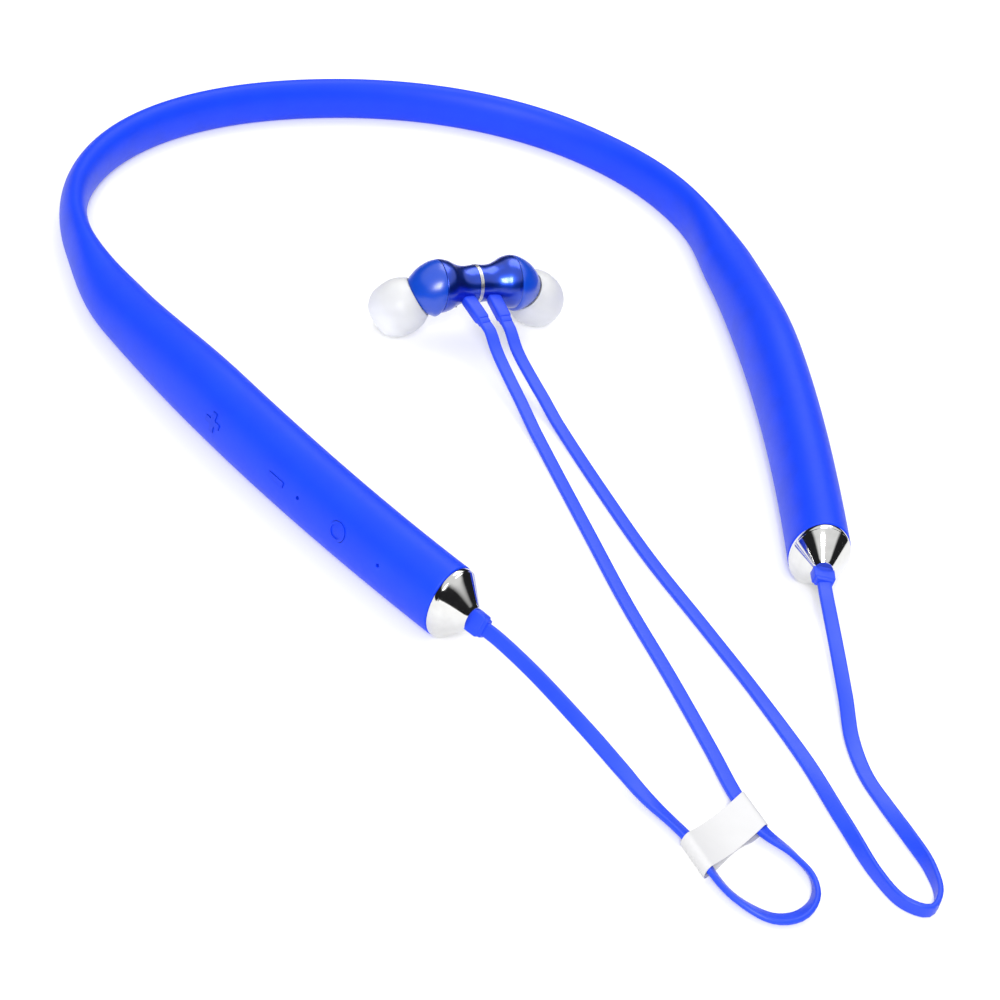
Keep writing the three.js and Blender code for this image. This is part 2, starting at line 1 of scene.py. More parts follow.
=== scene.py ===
"""Neckband earphones: the looks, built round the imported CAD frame. Metres, +Z up, arms towards -Y."""
import json
import math

import bmesh
import bpy
import numpy as np
from mathutils import Matrix, Vector


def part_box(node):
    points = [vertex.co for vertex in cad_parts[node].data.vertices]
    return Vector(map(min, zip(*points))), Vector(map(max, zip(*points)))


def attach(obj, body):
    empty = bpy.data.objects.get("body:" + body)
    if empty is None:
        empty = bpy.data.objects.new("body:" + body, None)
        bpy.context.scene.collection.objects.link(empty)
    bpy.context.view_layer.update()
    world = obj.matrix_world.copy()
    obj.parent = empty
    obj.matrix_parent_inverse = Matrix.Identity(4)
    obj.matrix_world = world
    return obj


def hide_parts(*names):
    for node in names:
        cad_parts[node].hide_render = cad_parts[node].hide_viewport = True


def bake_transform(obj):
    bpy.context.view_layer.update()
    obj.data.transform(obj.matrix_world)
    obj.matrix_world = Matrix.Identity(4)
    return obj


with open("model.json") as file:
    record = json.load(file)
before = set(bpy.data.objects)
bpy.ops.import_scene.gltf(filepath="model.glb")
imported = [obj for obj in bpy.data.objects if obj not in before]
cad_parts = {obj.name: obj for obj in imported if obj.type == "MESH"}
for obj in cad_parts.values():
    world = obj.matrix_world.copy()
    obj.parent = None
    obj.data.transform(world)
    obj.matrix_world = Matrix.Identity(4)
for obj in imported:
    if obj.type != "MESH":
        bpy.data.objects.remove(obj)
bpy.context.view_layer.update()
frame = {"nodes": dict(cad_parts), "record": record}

# ---------------------------------------------------------------- sizes
MM = 0.001
HALF_LENGTH = 244.4 * MM
# Pairs of [fraction of the half length, value]: the bend in 1/m, and the section's half sizes in m.
BEND = [(0, 7.97), (0.14, 12.0), (0.28, 16.31), (0.4, 17.94), (0.5, 9.2), (0.6, 2.31), (0.75, 2.08),
        (1, 1.34)]
HALF_WIDTH = [(0, 3.25 * MM), (0.22, 3.35 * MM), (0.44, 3.0 * MM), (0.56, 6.0 * MM), (0.7, 6.45 * MM),
              (1, 6.3 * MM)]
HALF_HEIGHT = [(0, 5.35 * MM), (0.3, 5.35 * MM), (0.5, 6.2 * MM), (0.72, 8.5 * MM), (1, 8.0 * MM)]
FLAT = math.cos(math.pi / 10)
APEX_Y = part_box("sleeve_rear")[1].y - HALF_WIDTH[0][1]
HINGE = 115 * MM
SLEEVE_WALL = 1.2 * MM
CONTROLS = {"middle": 203 * MM, "tilt": math.radians(15)}
KEY_AT = {"volume_up": -22.5 * MM, "volume_down": -1.8 * MM, "multifunction": 16.5 * MM}
KEY = {"arm": 2.2 * MM, "half": 0.6 * MM, "round": 2.1 * MM, "gap": 0.1 * MM, "proud": 0.2 * MM,
       "back": 5.45 * MM, "dish": 0.72}
KEY_SLOT = 3.9 * MM  # how far out from the control frame the holes for the keys begin
PINHOLE = {"radius": 0.42 * MM, "bottom": 3.0 * MM}
OUTSIDE = 9 * MM  # past the sleeve's skin, measured from the control frame
PINHOLES = (4.8 * MM, 28 * MM)
PORT_AT = -31 * MM
FLAP = {"width": 10 * MM, "height": 4.2 * MM, "corner": 0.9 * MM, "gap": 0.1 * MM, "sunk": 0.02 * MM,
        "back": -6.3 * MM, "front": -11 * MM, "hole": -5 * MM}
CAP = {"rim": 1.3 * MM, "cone": 4.7 * MM, "small": 0.36, "gap": 0.3 * MM}
GLAND = {"width": 2.3 * MM, "height": 4.5 * MM, "length": 3.4 * MM, "corner": 0.28 * MM}
GLAND_ROLL = {"left": 27, "right": 85}  # degrees from upright, the foot going outwards
RIBBON = {"width": 2.9 * MM, "thickness": 1.1 * MM, "corner": 0.5 * MM, "step": 1.2 * MM}
PAIR = Vector((2.74 * MM, APEX_Y - 95.21 * MM, 12.7 * MM))
NOZZLE_TILT = math.radians(39.5)
BUD_ROLL = math.radians(12.3)
SHELL_END = 9.2 * MM
SIDE = {"left": -1, "right": 1}

# Cord routes as in the CAD source, in mm from the middle of the rear band: x, y, z and the ribbon's
# roll in degrees, 0 where it lies flat and 90 where it stands on its edge.
ROUTES = {
    "left": [(-32.4, -210.1, 6.2, 60), (-27.5, -224.9, 4.4, 45), (-23.3, -238.7, 2.6, 5),
             (-20.4, -246.6, 1.9, -20), (-19.0, -252.5, 1.9, -20), (-18.6, -259.5, 1.8, -42),
             (-16.9, -265.8, 1.5, -38),
             (-12.4, -270.9, 1.4, -20), (-7.3, -271.6, 1.4, -28), (-3.0, -269.1, 1.4, -70),
             (-0.7, -264.4, 1.4, -118), (-1.6, -258.7, 1.7, -138), (-4.7, -252.5, 1.9, -168),
             (-5.1, -244.5, 1.8, -180), (-3.7, -231, 1.3, -180), (-2.4, -211, 1.2, -180),
             (-1.6, -190.2, 1.2, -180), (0.2, -168.1, 1.2, -180), (2.2, -141.9, 1.5, -180),
             (2.6, -120.9, 4.0, -180), (2.0, -112.6, 6.7, -180)],
    "right": [(34.2, -208.8, 6.0, 12), (31.6, -216.8, 4.5, 18), (28.4, -226, 3.0, 25), (25.1, -235, 1.8, 20),
              (23.3, -243, 1.4, 8), (22.9, -251.5, 1.3, 20), (22.8, -260, 1.3, 45), (22.5, -267.5, 1.3, 75),
              (20.6, -273.6, 1.4, 90), (16.8, -276.4, 1.4, 90), (13.1, -273.6, 1.4, 90),
              (11.6, -266.5, 1.3, 100), (12.2, -253.7, 1.3, 140), (13.3, -237.4, 1.3, 165),
              (12.9, -219.5, 1.2, 180), (11.4, -199.5, 1.2, 180), (9.6, -178, 1.2, 180),
              (9.2, -155.6, 1.2, 180), (9.0, -135.7, 1.7, 180), (7.9, -121.2, 4.0, 180),
              (6.8, -113, 6.7, 180)],
}
FIRST_ROLL = {"left": 63, "right": 5}  # the ribbon leaves each block in line with it
CORD_SPLIT = {"left": -255.0 * MM, "right": -243.0 * MM}  # where a cord stops following the arm
TAG = {"middle": (-12 * MM, -251.6 * MM), "turn": 0.43, "skew": 0.06, "length": 19.0 * MM,
       "width": 8.2 * MM, "height": 3.0 * MM, "film": 0.16 * MM, "sag": 1.1 * MM, "stuck": 0.8}


# ---------------------------------------------------------------- centre line
def span(table, t):
    i = 0
    while i < len(table) - 2 and t > table[i + 1][0]:
        i += 1
    (t0, v0), (t1, v1) = table[i], table[i + 1]
    return v0, v1, min(1.0, max(0.0, (t - t0) / (t1 - t0)))


def bend_at(t):
    v0, v1, u = span(BEND, t)
    return v0 + (v1 - v0) * u


def eased(table, t):
    v0, v1, u = span(table, t)
    return v0 + (v1 - v0) * u * u * (3 - 2 * u)


WALK = 0.5 * MM
walked = [(0.0, 0.0, 0.0)]
while len(walked) * WALK <= HALF_LENGTH + 20 * MM:
    x, y, turn = walked[-1]
    turned_on = turn + WALK * bend_at((len(walked) - 0.5) * WALK / HALF_LENGTH)
    middle = (turn + turned_on) / 2
    walked.append((x + WALK * math.cos(middle), y - WALK * math.sin(middle), turned_on))


class Station:
    """A place along the band: its centre, its outward and onward directions and its half sizes."""

    def __init__(self, s, side):
        i = min(int(s / WALK), len(walked) - 2)
        u = s / WALK - i
        x, y, turn = (p + (q - p) * u for p, q in zip(walked[i], walked[i + 1]))
        self.a = eased(HALF_WIDTH, s / HALF_LENGTH)
        self.b = eased(HALF_HEIGHT, s / HALF_LENGTH)
        self.point = Vector((side * x, APEX_Y + y, self.b * FLAT))
        self.out = Vector((side * math.sin(turn), math.cos(turn), 0))
        self.along = Vector((side * math.cos(turn), -math.sin(turn), 0))

    def ring(self, inset=0.0, count=64, scale=1.0, onward=0.0):
        """The section: an oval whose underside is softly flattened."""
        floor = -(self.b * FLAT - inset)
        soft = 0.06 * self.b
        points = []
        for i in range(count):
            angle = 2 * math.pi * i / count
            u = (self.a - inset) * math.cos(angle)
            v = (self.b - inset) * math.sin(angle)
            h = max(soft - abs(v - floor), 0) / soft
            v = max(v, floor) + h * h * soft / 4 if v < 0 else v
            centre = self.point + self.along * onward
            points.append(centre + self.out * (u * scale) + Vector((0, 0, v * scale)))
        return points


def arm_frame(s, side, tilt=0.0):
    """Local X points outwards, turned up by tilt, and Y runs along the arm."""
    at = Station(s, side)
    up = Vector((0, 0, 1))
    basis = Matrix((at.out, up.cross(at.out), up)).transposed().to_4x4()
    return Matrix.Translation(at.point) @ basis @ Matrix.Rotation(-tilt, 4, "Y")


# ---------------------------------------------------------------- camera
CAMERA = {"azimuth": -32.14, "elevation": 36.84, "roll": 14.39, "distance": 471.5 * MM, "lens": 82.29,
          "target": Vector((-13.7 * MM, APEX_Y - 154.2 * MM, -0.1 * MM))}


def make_camera():
    azimuth, elevation = math.radians(CAMERA["azimuth"]), math.radians(CAMERA["elevation"])
    roll = math.radians(CAMERA["roll"])
    back = Vector((math.sin(azimuth) * math.cos(elevation), -math.cos(azimuth) * math.cos(elevation),
                   math.sin(elevation)))
    level = Vector((math.cos(azimuth), math.sin(azimuth), 0))
    rise = back.cross(level)
    right = level * math.cos(roll) + rise * math.sin(roll)
    up = rise * math.cos(roll) - level * math.sin(roll)
    camera = bpy.data.objects.new("camera", bpy.data.cameras.new("camera"))
    bpy.context.scene.collection.objects.link(camera)
    turn = Matrix((right, up, back)).transposed().to_4x4()
    camera.matrix_world = Matrix.Translation(CAMERA["target"] + back * CAMERA["distance"]) @ turn
    camera.data.lens = CAMERA["lens"]
    camera.data.sensor_width = 36
    camera.data.clip_start, camera.data.clip_end = 0.02, 10
    bpy.context.scene.camera = camera


make_camera()


# ---------------------------------------------------------------- materials
def new_material(name, color, roughness, metallic=0.0, coat=0.0, coat_roughness=0.1, sheen=0.0):
    material = bpy.data.materials.new(name)
    material.use_nodes = True
    shader = material.node_tree.nodes["Principled BSDF"]
    shader.inputs["Base Color"].default_value = (*color, 1)
    shader.inputs["Roughness"].default_value = roughness
    shader.inputs["Metallic"].default_value = metallic
    shader.inputs["Coat Weight"].default_value = coat
    shader.inputs["Coat Roughness"].default_value = coat_roughness
    shader.inputs["Sheen Weight"].default_value = sheen
    shader.inputs["Sheen Roughness"].default_value = 0.4
    return material, shader


class Nodes:
    """Short names for adding nodes to a material."""

    def __init__(self, material):
        self.tree = material.node_tree

    def add(self, kind, **settings):
        node = self.tree.nodes.new(kind)
        for key, value in settings.items():
            setattr(node, key, value)
        return node

    def link(self, source, target):
        self.tree.links.new(source, target)

    def noise(self, scale, detail=3.0, stretch=(1, 1, 1)):
        """Noise over the object's own coordinates; scale is in features per metre."""
        place = self.add("ShaderNodeTexCoord")
        mapping = self.add("ShaderNodeMapping")
        mapping.inputs["Scale"].default_value = stretch
        texture = self.add("ShaderNodeTexNoise")
        texture.inputs["Scale"].default_value = scale
        texture.inputs["Detail"].default_value = detail
        self.link(place.outputs["Object"], mapping.inputs["Vector"])
        self.link(mapping.outputs["Vector"], texture.inputs["Vector"])
        return texture.outputs["Fac"]

    def ramp(self, value, stops):
        node = self.add("ShaderNodeValToRGB")
        elements = node.color_ramp.elements
        while len(elements) < len(stops):
            elements.new(0.5)
        for element, (position, color) in zip(elements, stops):
            element.position = position
            element.color = (*color, 1)
        self.link(value, node.inputs["Fac"])
        return node.outputs["Color"]

    def span(self, value, low, high):
        node = self.add("ShaderNodeMapRange")
        node.inputs["To Min"].default_value = low
        node.inputs["To Max"].default_value = high
        self.link(value, node.inputs["Value"])
        return node.outputs["Result"]

    def bump(self, height, strength, distance, shader):
        node = self.add("ShaderNodeBump")
        node.inputs["Strength"].default_value = strength
        node.inputs["Distance"].default_value = distance
        self.link(height, node.inputs["Height"])
        self.link(node.outputs["Normal"], shader.inputs["Normal"])


def shade(color, factor):
    return tuple(min(1.0, c * factor) for c in color)


def varied(name, color, roughness, grain=9000, depth=0.00001, spread=0.06, patch=160, **looks):
    """A moulded or coated surface: slow colour drift, uneven gloss and a fine grain."""
    material, shader = new_material(name, color, roughness, **looks)
    nodes = Nodes(material)
    drift = nodes.noise(patch, 2)
    stops = [(0.3, shade(color, 1 - spread)), (0.7, shade(color, 1 + spread))]
    nodes.link(nodes.ramp(drift, stops), shader.inputs["Base Color"])
    gloss = nodes.noise(patch * 6, 4)
    nodes.link(nodes.span(gloss, roughness - 0.05, roughness + 0.05), shader.inputs["Roughness"])
    nodes.bump(nodes.noise(grain, 2), 0.35, depth, shader)
    return material


BLUE = (0.001, 0.047, 0.80)
KEY_BLUE = (0.001, 0.043, 0.72)
CORD_BLUE = (0.016, 0.062, 0.74)


def silicone(name, color):
    material = varied(name, color, 0.52, grain=7000, depth=0.000012, spread=0.05, sheen=0.08)
    shader = material.node_tree.nodes["Principled BSDF"]
    shader.inputs["Sheen Tint"].default_value = (0.35, 0.45, 1.0, 1)
    shader.inputs["Specular IOR Level"].default_value = 0.3
    return material


def cord_rubber():
    material = varied("cord_rubber", CORD_BLUE, 0.42, grain=5000, depth=0.000008, spread=0.05, sheen=0.03)
    shader = material.node_tree.nodes["Principled BSDF"]
    shader.inputs["Specular IOR Level"].default_value = 0.35
    shader.inputs["Sheen Tint"].default_value = (0.45, 0.55, 1.0, 1)
    return material


def turned_metal(name, color, roughness, lines, coat=0.0):
    """Metal turned on a lathe: fine lines round the X axis and a directional highlight."""
    material, shader = new_material(name, color, roughness, metallic=1.0, coat=coat, coat_roughness=0.2)
    nodes = Nodes(material)
    brushed = nodes.noise(lines, 3, stretch=(1, 0.02, 0.02))
    nodes.link(nodes.span(brushed, roughness * 0.8, roughness * 1.25), shader.inputs["Roughness"])
    wear = nodes.noise(400, 3)
    stops = [(0.3, shade(color, 0.93)), (0.75, shade(color, 1.06))]
    nodes.link(nodes.ramp(wear, stops), shader.inputs["Base Color"])
    nodes.bump(brushed, 0.06, 0.00001, shader)
    return material


def chrome(name, roughness):
    material, shader = new_material(name, (0.69, 0.69, 0.68), roughness, metallic=1.0)
    nodes = Nodes(material)
    smudge = nodes.noise(500, 4)
    nodes.link(nodes.span(smudge, roughness * 0.7, roughness * 1.6), shader.inputs["Roughness"])
    stops = [(0.3, (0.66, 0.66, 0.65)), (0.7, (0.72, 0.72, 0.71))]
    nodes.link(nodes.ramp(smudge, stops), shader.inputs["Base Color"])
    return material


def tip_silicone():
    material, shader = new_material("tip_silicone", (0.85, 0.86, 0.87), 0.42)
    shader.inputs["Subsurface Weight"].default_value = 0.6
    shader.inputs["Subsurface Radius"].default_value = (1.0, 1.0, 1.05)
    shader.inputs["Subsurface Scale"].default_value = 0.003
    shader.inputs["Transmission Weight"].default_value = 0.12
    shader.inputs["IOR"].default_value = 1.41
    nodes = Nodes(material)
    haze = nodes.noise(300, 3)
    stops = [(0.3, (0.83, 0.84, 0.85)), (0.7, (0.87, 0.88, 0.89))]
    nodes.link(nodes.ramp(haze, stops), shader.inputs["Base Color"])
    nodes.link(nodes.span(haze, 0.33, 0.43), shader.inputs["Roughness"])
    nodes.bump(nodes.noise(6000, 2), 0.2, 0.00001, shader)
    return material


def woven_screen():
    material, shader = new_material("woven_screen", (0.5, 0.5, 0.52), 0.35, metallic=1.0)
    nodes = Nodes(material)
    place = nodes.add("ShaderNodeTexCoord")
    weave = nodes.add("ShaderNodeTexVoronoi")
    weave.inputs["Scale"].default_value = 6000
    nodes.link(place.outputs["Object"], weave.inputs["Vector"])
    stops = [(0.1, (0.02, 0.02, 0.02)), (0.5, (0.55, 0.55, 0.57))]
    nodes.link(nodes.ramp(weave.outputs["Distance"], stops), shader.inputs["Base Color"])
    nodes.bump(weave.outputs["Distance"], 0.5, 0.00005, shader)
    return material


MATERIALS = {
    "silicone": silicone("silicone", BLUE),
    "key_silicone": silicone("key_silicone", KEY_BLUE),
    "cord_rubber": cord_rubber(),
    "blue_metal": turned_metal("blue_metal", (0.004, 0.048, 0.50), 0.34, 9000, coat=1.0),
    "blue_gloss": varied("blue_gloss", (0.001, 0.058, 0.52), 0.32, grain=4000, depth=0.000004, coat=0.5,
                         coat_roughness=0.25),
    "chrome": chrome("chrome", 0.07),
    "satin_chrome": chrome("satin_chrome", 0.34),
    "clear_silicone": tip_silicone(),
    "film": varied("film", (0.60, 0.60, 0.61), 0.6, grain=3000, depth=0.00002, spread=0.02),
    "black_plastic": varied("black_plastic", (0.012, 0.012, 0.014), 0.5),
    "board": varied("board", (0.02, 0.14, 0.06), 0.4, patch=900, spread=0.25),
    "tin": turned_metal("tin", (0.62, 0.62, 0.64), 0.3, 4000),
    "spring_metal": turned_metal("spring_metal", (0.5, 0.5, 0.52), 0.35, 4000),
    "cell": varied("cell", (0.55, 0.56, 0.58), 0.35, metallic=0.6),
    "lens": varied("lens", (0.75, 0.82, 0.95), 0.2, spread=0.03),
    "screen": woven_screen(),
}


# ---------------------------------------------------------------- pieces
def piece(name, points, faces, slot, bodies, replaces=(), sharp=35.0, blend=None, look=None):
    mesh = bpy.data.meshes.new(name)
    mesh.from_pydata([tuple(p) for p in points], [], faces)
    return finish_piece(name, mesh, slot, bodies, replaces, sharp, blend, look)


def finish_piece(name, mesh, slot, bodies, replaces=(), sharp=35.0, blend=None, look=None):
    tidy = bmesh.new()
    tidy.from_mesh(mesh)
    bmesh.ops.remove_doubles(tidy, verts=tidy.verts, dist=1e-7)
    bmesh.ops.recalc_face_normals(tidy, faces=tidy.faces)
    tidy.to_mesh(mesh)
    tidy.free()
    mesh.polygons.foreach_set("use_smooth", [True] * len(mesh.polygons))
    mesh.set_sharp_from_angle(angle=math.radians(sharp))
    mesh.materials.clear()
    mesh.materials.append(MATERIALS[look or slot])
    made = bpy.data.objects.new(name, mesh)
    bpy.context.scene.collection.objects.link(made)
    if blend:
        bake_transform(made)
    else:
        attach(made, bodies)
    if replaces:
        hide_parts(*replaces)
    return made


def loft(rings, closed=False):
    """Points and faces of a skin over rings, its ends filled unless the rings close on themselves."""
    count = len(rings[0])
    points = [p for ring in rings for p in ring]
    faces = []
    pairs = [(r, r + 1) for r in range(len(rings) - 1)] + ([(len(rings) - 1, 0)] if closed else [])
    for r, q in pairs:
        for i in range(count):
            j = (i + 1) % count
            faces.append((r * count + i, r * count + j, q * count + j, q * count + i))
    if not closed:
        faces.append(tuple(reversed(range(count))))
        faces.append(tuple(range((len(rings) - 1) * count, len(rings) * count)))
    return points, faces


def plain_object(points, faces):
    mesh = bpy.data.meshes.new("tool")
    mesh.from_pydata([tuple(p) for p in points], [], faces)
    tidy = bmesh.new()
    tidy.from_mesh(mesh)
    bmesh.ops.recalc_face_normals(tidy, faces=tidy.faces)
    tidy.to_mesh(mesh)
    tidy.free()
    made = bpy.data.objects.new("tool", mesh)
    bpy.context.scene.collection.objects.link(made)
    return made


def boolean(base, tools, operation):
    """The base's mesh after cutting by or meeting each tool; all of them are used up."""
    for tool in tools:
        step = base.modifiers.new("cut", "BOOLEAN")
        step.object, step.operation, step.solver = tool, operation, "EXACT"
    bpy.context.view_layer.update()
    evaluated = base.evaluated_get(bpy.context.evaluated_depsgraph_get())
    mesh = bpy.data.meshes.new_from_object(evaluated)
    for used in (base, *tools):
        bpy.data.objects.remove(used)
    return mesh


def prism(outline, low, high, matrix):
    """A column over an outline in the local YZ plane, from X low to high."""
    rings = [[matrix @ Vector((x, y, z)) for y, z in outline] for x in (low, high)]
    return plain_object(*loft(rings))


def rounded(corners, radius, steps=4):
    """A polygon's outline with each corner rounded."""
    made = []
    count = len(corners)
    for i, corner in enumerate(corners):
        corner = Vector(corner)
        before = (Vector(corners[i - 1]) - corner).normalized() * radius
        after = (Vector(corners[(i + 1) % count]) - corner).normalized() * radius
        for k in range(steps + 1):
            u = k / steps
            made.append(tuple(corner + before * (1 - u) ** 2 + after * u ** 2))
    return made


# ---------------------------------------------------------------- sleeve and keys
def key_outline(name, grow):
    y0 = KEY_AT[name]
    if name == "multifunction":
        return circle(y0, KEY["round"] + grow, 48)
    r, h = KEY["arm"] + grow, KEY["half"] + grow
    if name == "volume_down":
        corners = [(r, h), (-r, h), (-r, -h), (r, -h)]
    else:
        corners = [(r, h), (h, h), (h, r), (-h, r), (-h, h), (-r, h), (-r, -h), (-h, -h), (-h, -r),
                   (h, -r), (h, -h), (r, -h)]
    return [(y0 + y, z) for y, z in rounded(corners, 0.25 * MM)]


def circle(y0, radius, count=20):
    turns = [2 * math.pi * i / count for i in range(count)]
    return [(y0 + radius * math.cos(t), radius * math.sin(t)) for t in turns]


def flap_outline(grow):
    w, h = FLAP["width"] / 2 + grow, FLAP["height"] / 2 + grow
    return [(PORT_AT + y, z) for y, z in rounded([(w, h), (-w, h), (-w, -h), (w, -h)], FLAP["corner"], 6)]


def sleeve_tube(side):
    """The silicone skin of one half: outside, a rolled lip at the arm's end, and the inside."""
    step = 1.5 * MM
    count = int(round(HALF_LENGTH / step))
    places = [HALF_LENGTH * i / count for i in range(count + 1)]
    lip = 0.28 * MM
    rings = [Station(s, side).ring() for s in places[:-1]]
    end = Station(HALF_LENGTH, side)
    for k in range(5):
        angle = math.pi / 2 * k / 4
        rings.append(end.ring(inset=lip * (1 - math.cos(angle)), onward=lip * (math.sin(angle) - 1)))
    rings.append(end.ring(inset=SLEEVE_WALL))
    rings += [Station(s, side).ring(inset=SLEEVE_WALL) for s in reversed(places[:-1:3])]
    return loft(rings, closed=True)


def hinge_blend(side):
    arm, rear = Station(HINGE + 26 * MM, side), Station(HINGE - 26 * MM, side)
    return arm.point, rear.point


def arm_skin(first, last, inset=0.0):
    """A plug as wide as the left arm, between two places along it in mm."""
    return plain_object(*loft([Station(s * MM, SIDE["left"]).ring(inset=inset) for s in range(first, last)]))


def tool_object(mesh):
    made = bpy.data.objects.new("tool", mesh)
    bpy.context.scene.collection.objects.link(made)
    return made


def dished(mesh, control):
    """The round key with its middle level with the sleeve, which leaves a raised rim."""
    key = tool_object(mesh)
    skin = arm_skin(190, 236)
    middle = prism(circle(KEY_AT["multifunction"], KEY["round"] * KEY["dish"], 48), 4 * MM, OUTSIDE, control)
    cutter = tool_object(boolean(middle, [skin], "DIFFERENCE"))
    return boolean(key, [cutter], "DIFFERENCE")


def make_sleeves():
    control = arm_frame(CONTROLS["middle"], SIDE["left"], CONTROLS["tilt"])
    tools = [prism(key_outline(name, KEY["gap"]), KEY_SLOT, OUTSIDE, control) for name in KEY_AT]
    tools += [prism(circle(y, PINHOLE["radius"]), PINHOLE["bottom"], OUTSIDE, control) for y in PINHOLES]
    tools.append(prism(flap_outline(FLAP["gap"]), FLAP["front"], FLAP["hole"], control))
    left = boolean(plain_object(*sleeve_tube(SIDE["left"])), tools, "DIFFERENCE")
    finish_piece("sleeve_half_left", left, "silicone", ("left_arm", "band"), ("sleeve_left", "sleeve_rear"),
                 blend=hinge_blend(SIDE["left"]))
    points, faces = sleeve_tube(SIDE["right"])
    piece("sleeve_half_right", points, faces, "silicone", ("right_arm", "band"), ("sleeve_right",),
          blend=hinge_blend(SIDE["right"]))
    for name in KEY_AT:
        skin = arm_skin(170, 236, inset=-KEY["proud"])
        pad = prism(key_outline(name, 0), KEY["back"], OUTSIDE, control)
        mesh = boolean(pad, [skin], "INTERSECT")
        if name == "multifunction":
            mesh = dished(mesh, control)
        finish_piece(f"key_{name}", mesh, "silicone", name, (f"button_{name}",), look="key_silicone")
    skin = arm_skin(160, 186, inset=FLAP["sunk"])
    mesh = boolean(prism(flap_outline(0), FLAP["front"], FLAP["back"], control), [skin], "INTERSECT")
    finish_piece("port_flap", mesh, "silicone", "port_cover", ("usb_cover",))


make_sleeves()


# ---------------------------------------------------------------- end caps and strain reliefs
def make_cap(name, side):
    """Polished cone: a fine shadow gap, a flat rim band, a turned groove and the cone to its small end."""
    gap, rim, cone, small = CAP["gap"] * 0.3, CAP["rim"], CAP["cone"], CAP["small"]
    end = Station(HALF_LENGTH, side)
    base = gap + rim
    outline = [(-2.8 * MM, 0.74), (gap, 0.74), (gap, 0.95), (gap + 0.1 * MM, 0.975), (gap + 0.3 * MM, 0.982),
               (base - 0.45 * MM, 0.982), (base - 0.3 * MM, 0.975), (base - 0.2 * MM, 0.962), (base, 0.962)]
    outline += [(base + cone * k / 10, 0.962 + (small - 0.962) * (k / 10) ** 1.04) for k in range(1, 11)]
    tip = base + cone
    outline += [(tip + 0.12 * MM, small - 0.02), (tip + 0.14 * MM, small - 0.05),
                (tip - 0.3 * MM, small - 0.08)]
    rings = [end.ring(scale=k, onward=x, count=96) for x, k in outline]
    points, faces = loft(rings)
    piece(f"cap_{name}", points, faces, "chrome", f"{name}_arm", (f"end_cap_{name}",), sharp=28)


def block(rings_of, sizes, count=24):
    """A rounded block along X from [x, half width, half height, corner radius] rows."""
    rings = []
    for x, w, h, r in sizes:
        corners = [(w, h), (-w, h), (-w, -h), (w, -h)]
        rings.append([rings_of @ Vector((x, y, z)) for y, z in rounded(corners, r, count // 4)])
    return loft(rings)


def gland_frame(name, side):
    """Local X runs on from the arm, and Y and Z lie across the block's broad and narrow ways."""
    end = Station(HALF_LENGTH, side)
    basis = Matrix((end.along, end.out.cross(end.along), end.out)).transposed().to_4x4()
    roll = math.radians(side * GLAND_ROLL[name])
    return Matrix.Translation(end.point) @ basis @ Matrix.Rotation(roll, 4, "X")


def make_gland(name, side):
    start = CAP["gap"] + CAP["rim"] + CAP["cone"]
    h, w, corner = GLAND["height"] / 2, GLAND["width"] / 2, GLAND["corner"]
    sizes = [(start - 2 * MM, h, w, corner), (start + 0.2 * MM, h, w, corner),
             (start + 2.45 * MM, h * 0.98, w * 0.98, corner), (start + 2.6 * MM, h * 0.94, w * 0.94, corner),
             (start + 2.68 * MM, h * 0.86, w * 0.84, corner), (start + 3.3 * MM, h * 0.82, w * 0.78, corner),
             (start + 3.42 * MM, h * 0.74, w * 0.62, 0.35 * MM)]
    points, faces = block(gland_frame(name, side), sizes)
    piece(f"relief_{name}", points, faces, "cord_rubber", f"{name}_arm", (f"strain_relief_{name}",), sharp=40)


for name, side in SIDE.items():
    make_cap(name, side)
    make_gland(name, side)


# ---------------------------------------------------------------- earbuds
def bud_point(side, x, y, z):
    return PAIR + Vector((side * x, y, z))


ROLL = Matrix.Rotation(BUD_ROLL, 3, "X")


def turned(side, profile, count=96, centre=Vector((0, 0, 0)), tilt=0.0):
    """Rings of a turned solid along the bud's axis, tipped down by tilt about a centre."""
    axis = Vector((math.cos(tilt), 0, -math.sin(tilt)))
    down = Vector((-math.sin(tilt), 0, -math.cos(tilt)))
    rings = []
    for x, radius in profile:
        middle = centre + axis * x
        ring = []
        for i in range(count):
            angle = 2 * math.pi * i / count
            p = middle + Vector((0, radius * math.cos(angle), 0)) + down * (radius * math.sin(angle))
            ring.append(bud_point(side, *(ROLL @ p)))
        rings.append(ring)
    return rings


def smooth_profile(points, per=6):
    """A Catmull-Rom curve through [x, radius] pairs."""
    p = [np.array(q, float) for q in points]
    p = [2 * p[0] - p[1], *p, 2 * p[-1] - p[-2]]
    made = []
    for i in range(1, len(p) - 2):
        for k in range(per):
            t = k / per
            linear = (p[i + 1] - p[i - 1]) * t
            square = (2 * p[i - 1] - 5 * p[i] + 4 * p[i + 1] - p[i + 2]) * t * t
            cube = (3 * p[i] - p[i - 1] - 3 * p[i + 1] + p[i + 2]) * t ** 3
            made.append(0.5 * (2 * p[i] + linear + square + cube))
    made.append(p[-2])
    return [(float(x), float(r)) for x, r in made]


NOZZLE_AXIS = Vector((math.cos(NOZZLE_TILT), 0, -math.sin(NOZZLE_TILT)))
FACE = Vector((SHELL_END + 0.3 * MM, 0, 0)) + NOZZLE_AXIS * 4.7 * MM


